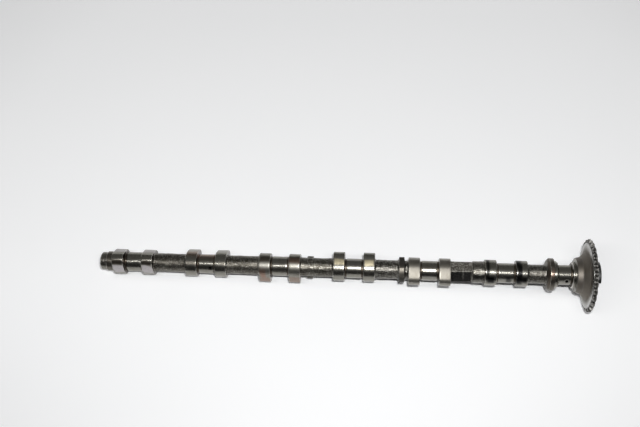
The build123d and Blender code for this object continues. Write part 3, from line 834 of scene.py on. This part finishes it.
def casting_group():
    """Sand-cast skin: lumps, grains and the few grains that catch the light."""
    outputs = ("Height", "Glints", "Flecks", "Stains")
    wiring, given, out = group("cast skin", {"Grain": 1100.0}, outputs)
    place = wiring.coordinates()
    grain = wiring.noise(place, given["Grain"], 5.0, 0.62)
    lumps = wiring.noise(place, 560.0, 2.0, 0.5)
    cells = wiring.add("TexVoronoi", {"Vector": place, "Scale": 1500.0}).outputs["Distance"]
    height = wiring.math("ADD", grain, wiring.times(lumps, 2.4))
    height = wiring.math("ADD", height, wiring.times(cells, 0.25))
    glints = wiring.scaled(wiring.noise(place, 950.0, 2.0, 0.5), 0.54, 0.66)
    flecks = wiring.scaled(wiring.noise(place, 520.0, 2.0, 0.6), 0.5, 0.6)
    stains = wiring.scaled(wiring.noise(place, 85.0, 4.0, 0.6), 0.38, 0.66)
    wiring.feed(out, Height=height, Flecks=flecks, Glints=glints, Stains=stains)
    return wiring.tree


def oil_group():
    """Old oil: a film that thins out in drops and runs."""
    wiring, given, out = group("old oil", {"Size": 150.0, "Cover": 0.5}, ("Film", "Spots"))
    place = wiring.coordinates()
    broad = wiring.noise(place, given["Size"], 4.0, 0.6)
    low = wiring.math("SUBTRACT", 0.78, wiring.times(given["Cover"], 0.5))
    film = wiring.scaled(broad, low, wiring.math("ADD", low, 0.14))
    spots = wiring.scaled(wiring.noise(place, 620.0, 2.0, 0.5), 0.62, 0.72)
    wiring.feed(out, Film=film, Spots=spots)
    return wiring.tree


def wear_group():
    """Edges rubbed bright, broken up by noise."""
    wiring, given, out = group("rubbed edge", {"Edge": 0.0, "Amount": 1.0}, ("Wear",))
    broken = wiring.scaled(wiring.noise(wiring.coordinates(), 420.0, 3.0, 0.6), 0.34, 0.6)
    wear = wiring.times(wiring.times(given["Edge"], broken), given["Amount"])
    wiring.feed(out, Wear=wear)
    return wiring.tree


GRINDING, CASTING, OIL, WEAR = grinding_group(), casting_group(), oil_group(), wear_group()


# ---------------------------------------------------------------- materials
def material(name):
    """New material with its wiring and its Principled shader."""
    made = bpy.data.materials.new(name)
    made.use_nodes = True
    shader = made.node_tree.nodes["Principled BSDF"]
    return made, Wiring(made.node_tree), shader


def metal(wiring, shader, colour, roughness, relief):
    """Bare metal with its colour, roughness and relief."""
    wiring.feed(shader.inputs, Base_Color=colour, Roughness=roughness, Normal=relief)
    shader.inputs["Metallic"].default_value = 1.0


def shaft_material():
    """Cast iron: dark sand-cast skin, ground lobes and journals, old oil and heat tints."""
    made, wiring, shader = material("shaft iron")
    mark, mixed, between, times = wiring.attribute, wiring.mixed, wiring.between, wiring.times
    rings = wiring.placed(GRINDING, Rings=2600.0, Scatter=60.0)
    sand = wiring.placed(CASTING, Grain=1100.0)
    oil = wiring.placed(OIL, Size=150.0, Cover=0.55)
    cast = mark("cast")
    ground = mixed(rings["Rings"], (0.2, 0.19, 0.165, 1), (0.3, 0.29, 0.26, 1))
    ground = mixed(times(oil["Film"], 0.35), ground, (0.16, 0.15, 0.12, 1))
    sandy = mixed(sand["Stains"], (0.066, 0.06, 0.049, 1), (0.127, 0.118, 0.1, 1))
    sandy = mixed(times(mark("wet"), 0.6), sandy, (0.03, 0.028, 0.025, 1))
    flecks = times(sand["Flecks"], times(mark("grit"), 0.65))
    shine = wiring.most(times(sand["Glints"], 0.5), flecks)
    sandy = mixed(shine, sandy, (0.6, 0.58, 0.53, 1))
    # Besides oil film and heat tints, these tints paint a highlight (the warm yellow band),
    # reflections (the lighter purple facets) and shade (film colour in the necks).
    colour = wiring.tinted(
        mixed(cast, ground, sandy), side=(0.13, 0.115, 0.11, 1), film=(0.06, 0.046, 0.033, 1),
        straw=(0.85, 0.75, 0.52, 1), copper=(0.27, 0.17, 0.13, 1), violet=(0.43, 0.405, 0.41, 1))
    wear = wiring.placed(WEAR, Edge=mark("edge"), Amount=0.85)["Wear"]
    colour = mixed(wear, colour, (0.62, 0.6, 0.56, 1))
    spots = times(oil["Spots"], 0.35)
    # Black oil and oil spots, with painted shade in the oil holes and under the first journal.
    soot = wiring.most(mark("soot"), times(spots, wiring.math("SUBTRACT", 1.0, cast)))
    colour = mixed(soot, colour, (0.012, 0.012, 0.013, 1))
    dull = between(mark("wet"), 0.4, 0.37)
    roughness = between(cast, between(rings["Patches"], 0.21, 0.29), dull)
    roughness = between(mark("film"), roughness, 0.42)
    roughness = between(mark("satin"), roughness, 0.52)
    grains = times(sand["Height"], between(mark("grit"), 1.0, 2.2))
    height = between(cast, times(rings["Rings"], 0.05), grains)
    metal(wiring, shader, colour, roughness, wiring.relief(height, 0.00022, 0.6))
    return made


def wheel_material():
    """Satin steel of the wheel: darker brown bell and hub, patches of brown oil, painted shade in
    the tooth gaps, rubbed bright tooth edges.
    """
    made, wiring, shader = material("wheel steel")
    mark, mixed, between = wiring.attribute, wiring.mixed, wiring.between
    rings = wiring.placed(GRINDING, Rings=900.0, Scatter=120.0)
    oil = wiring.placed(OIL, Size=110.0, Cover=0.6)
    colour = mixed(rings["Patches"], (0.24, 0.23, 0.21, 1), (0.34, 0.33, 0.305, 1))
    colour = wiring.tinted(
        colour, bell=(0.15, 0.135, 0.115, 1), hub=(0.165, 0.15, 0.132, 1), web=(0.3, 0.3, 0.29, 1))
    colour = mixed(wiring.times(oil["Film"], 0.4), colour, (0.15, 0.13, 0.1, 1))
    # The gap tint is painted shade in the tooth gaps.
    colour = wiring.tinted(colour, rim=(0.19, 0.185, 0.172, 1), gap=(0.012, 0.011, 0.01, 1))
    wear = wiring.placed(WEAR, Edge=mark("edge"), Amount=0.7)["Wear"]
    colour = mixed(wear, colour, (0.42, 0.41, 0.39, 1))
    roughness = between(rings["Patches"], 0.34, 0.48)
    roughness = between(wiring.most(mark("bell"), mark("hub")), roughness, 0.55)
    roughness = between(mark("web"), roughness, 0.2)
    height = wiring.math("ADD", rings["Rings"], wiring.times(rings["Patches"], 1.5))
    metal(wiring, shader, colour, roughness, wiring.relief(height, 0.00008, 0.6))
    return made


def dark_steel(name, low, high, low_roughness, high_roughness, edge_mark):
    """Pressed or phosphated steel, with patches of two colours, glossier under its oil film."""
    made, wiring, shader = material(name)
    rings = wiring.placed(GRINDING, Rings=700.0, Scatter=500.0)
    oil = wiring.placed(OIL, Size=190.0, Cover=0.5)
    colour = wiring.mixed(rings["Patches"], low, high)
    colour = wiring.mixed(wiring.times(oil["Film"], 0.5), colour, (0.05, 0.045, 0.038, 1))
    if edge_mark:
        wear = wiring.placed(WEAR, Edge=wiring.attribute("edge"), Amount=0.6)["Wear"]
        colour = wiring.mixed(wear, colour, (0.4, 0.39, 0.37, 1))
    relief = wiring.relief(rings["Rings"], 0.00006, 0.5)
    roughness = wiring.between(oil["Film"], high_roughness, low_roughness)
    metal(wiring, shader, colour, roughness, relief)
    return made


def floor_material():
    """Pale painted table top, with a faint glow where it is seen in place of the light of a whole
    room. The glow is dimmed to a tenth in a narrow strip under the shaft, a painted shadow, and is
    weaker on the near side. Distances are in metres."""
    made, wiring, shader = material("pale table")
    times, scaled = wiring.times, wiring.scaled
    place = wiring.coordinates()
    cloudy = wiring.noise(place, 3.0, 2.0, 0.5)
    colour = wiring.mixed(cloudy, (0.9, 0.906, 0.914, 1), (0.93, 0.934, 0.94, 1))
    wiring.feed(shader.inputs, Base_Color=colour)
    shader.inputs["Roughness"].default_value = 0.6
    seen = wiring.seen()
    inputs = {0: place, 1: (-0.27, 0.0, 0.0)}
    reach = wiring.add("VectorMath", inputs, operation="DISTANCE").outputs[1]
    glow = wiring.add("MapRange", {0: reach, 1: 0.05, 2: 0.5, 3: 0.09, 4: 0.24}).outputs[0]
    parts = wiring.add("SeparateXYZ", {0: place}).outputs
    # Painted shadow: the glow drops in a strip under the shaft, along the shaft's length only.
    aside = wiring.math("ABSOLUTE", wiring.math("ADD", parts[1], 0.003))
    beyond = wiring.math("ABSOLUTE", wiring.math("ADD", parts[0], 0.26))
    under = wiring.most(scaled(aside, 0.004, 0.022, 0.1), scaled(beyond, 0.285, 0.3, 0.1))
    glow = times(times(glow, under), scaled(parts[1], -0.25, 0.0, 0.5, 1.0))
    glow = wiring.math("ADD", glow, scaled(reach, 0.6, 2.0, 0.0, 0.36))
    wiring.feed(shader.inputs, Emission_Strength=times(seen, glow))
    shader.inputs["Emission Color"].default_value = (1.0, 1.0, 1.0, 1.0)
    return made


# ---------------------------------------------------------------- making the pieces
def finish_piece(piece, made, node):
    """Material, body and the solid that a piece stands for."""
    piece.data.materials.append(made)
    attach(piece, "root")
    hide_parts(node)


shaft = build_shaft()
wheel = build_wheel()
plate = build_plate()
bolt = build_bolt()
plate_finish = ((0.06, 0.06, 0.06, 1), (0.12, 0.12, 0.117, 1), 0.25, 0.4, False)
bolt_finish = ((0.08, 0.08, 0.08, 1), (0.16, 0.16, 0.155, 1), 0.3, 0.5, True)
finish_piece(shaft, shaft_material(), "camshaft")
finish_piece(wheel, wheel_material(), "sprocket")
finish_piece(plate, dark_steel("plate steel", *plate_finish), "pulse_plate")
finish_piece(bolt, dark_steel("bolt steel", *bolt_finish), "sprocket_bolt")


# ---------------------------------------------------------------- table, light, camera
# The two places (x, z) where the assembly rests, and half the table's side
REAR_CONTACT, FRONT_CONTACT = (-548.6, -15.55), (28.1, -43.46)
TABLE_HALF = 3000.0


def build_floor():
    """Table top under the lowest teeth and the rear lobe."""
    (rear_x, rear_z), (front_x, front_z) = REAR_CONTACT, FRONT_CONTACT
    slope = (front_z - rear_z) / (front_x - rear_x)
    corners = []
    for x, y in ((-1, -1), (1, -1), (1, 1), (-1, 1)):
        x, y = x * TABLE_HALF, y * TABLE_HALF
        corners.append(tuple(METRE * c for c in (x, y, rear_z + slope * (x - rear_x))))
    mesh = bpy.data.meshes.new("table_top")
    mesh.from_pydata(corners, [], [(0, 1, 2, 3)])
    floor = in_scene("table_top", mesh)
    floor.data.materials.append(floor_material())


def stand(name, data, across, up, back, place):
    """Lamp or camera that looks against back, in metres."""
    holder = in_scene(name, data)
    turned = Matrix.Identity(4)
    for row in range(3):
        turned[row] = across[row], up[row], back[row], place[row]
    holder.matrix_world = turned
    return holder


def area_light(name, place, target, size, strength):
    """Soft box facing a target, with its strength as radiance."""
    lamp = bpy.data.lights.new(name, "AREA")
    lamp.shape = "RECTANGLE"
    lamp.size, lamp.size_y = size
    lamp.energy = strength * math.pi * size[0] * size[1]
    back = np.array(place) - np.array(target)
    back /= np.linalg.norm(back)
    across = np.array([1.0, 0.0, 0.0])
    across = across - back * across.dot(back)
    across /= np.linalg.norm(across)
    stand(name, lamp, across, np.cross(back, across), back, place)


def leaned(x, y, z, angle=CAMERA_LEAN):
    """A vector turned about the shaft's axis, from upright towards -Y."""
    cos, sin = math.cos(angle), math.sin(angle)
    return x, y * cos - z * sin, y * sin + z * cos


def build_light():
    """A small soft box beside the camera, a long faint one over the shaft, and a room
    pale at its walls and darker overhead."""
    area_light("near_softbox", leaned(-0.165, 0.0, 1.02, NEAR_LAMP_LEAN),
               target=(-0.28, -0.1, 0.0), size=(0.04, 0.016), strength=3560.0)
    area_light("long_softbox", leaned(-0.33, 0.0, 1.1, LONG_LAMP_LEAN),
               target=(-0.33, 0.0, 0.0), size=(1.24, 0.03), strength=32.0)
    world = bpy.data.worlds.new("pale_room")
    bpy.context.scene.world = world
    world.use_nodes = True
    wiring = Wiring(world.node_tree)
    direction = wiring.add("TexCoord").outputs["Generated"]
    parts = wiring.add("SeparateXYZ", {0: direction}).outputs
    overhead = wiring.scaled(parts[2], 0.0, 0.12)
    seen = wiring.seen()
    side = wiring.scaled(parts[1], -0.25, 0.25)
    ceiling = wiring.mixed(side, (0.04, 0.04, 0.04, 1), (0.17, 0.17, 0.165, 1))
    ceiling = wiring.mixed(seen, (0.016, 0.016, 0.017, 1), ceiling)
    colour = wiring.mixed(overhead, (0.6, 0.61, 0.62, 1), ceiling)
    background = world.node_tree.nodes["Background"]
    wiring.feed(background.inputs, Color=colour)
    background.inputs["Strength"].default_value = 1.0


def build_camera():
    """Camera high over the shaft, leaned a little to one side."""
    view = bpy.data.cameras.new("overhead_camera")
    view.lens = 46.04
    view.sensor_width = 36.0
    across, up = leaned(0.9963, 0.0308, -0.0819), leaned(-0.0254, 0.9974, 0.0679)
    back, place = leaned(0.0822, -0.0656, 0.9943), leaned(-0.2107, 0.0, 1.004)
    bpy.context.scene.camera = stand("overhead_camera", view, across, up, back, place)


build_floor()
build_light()
build_camera()
bpy.context.scene.view_settings.view_transform = "Standard"

bpy.context.view_layer.update()
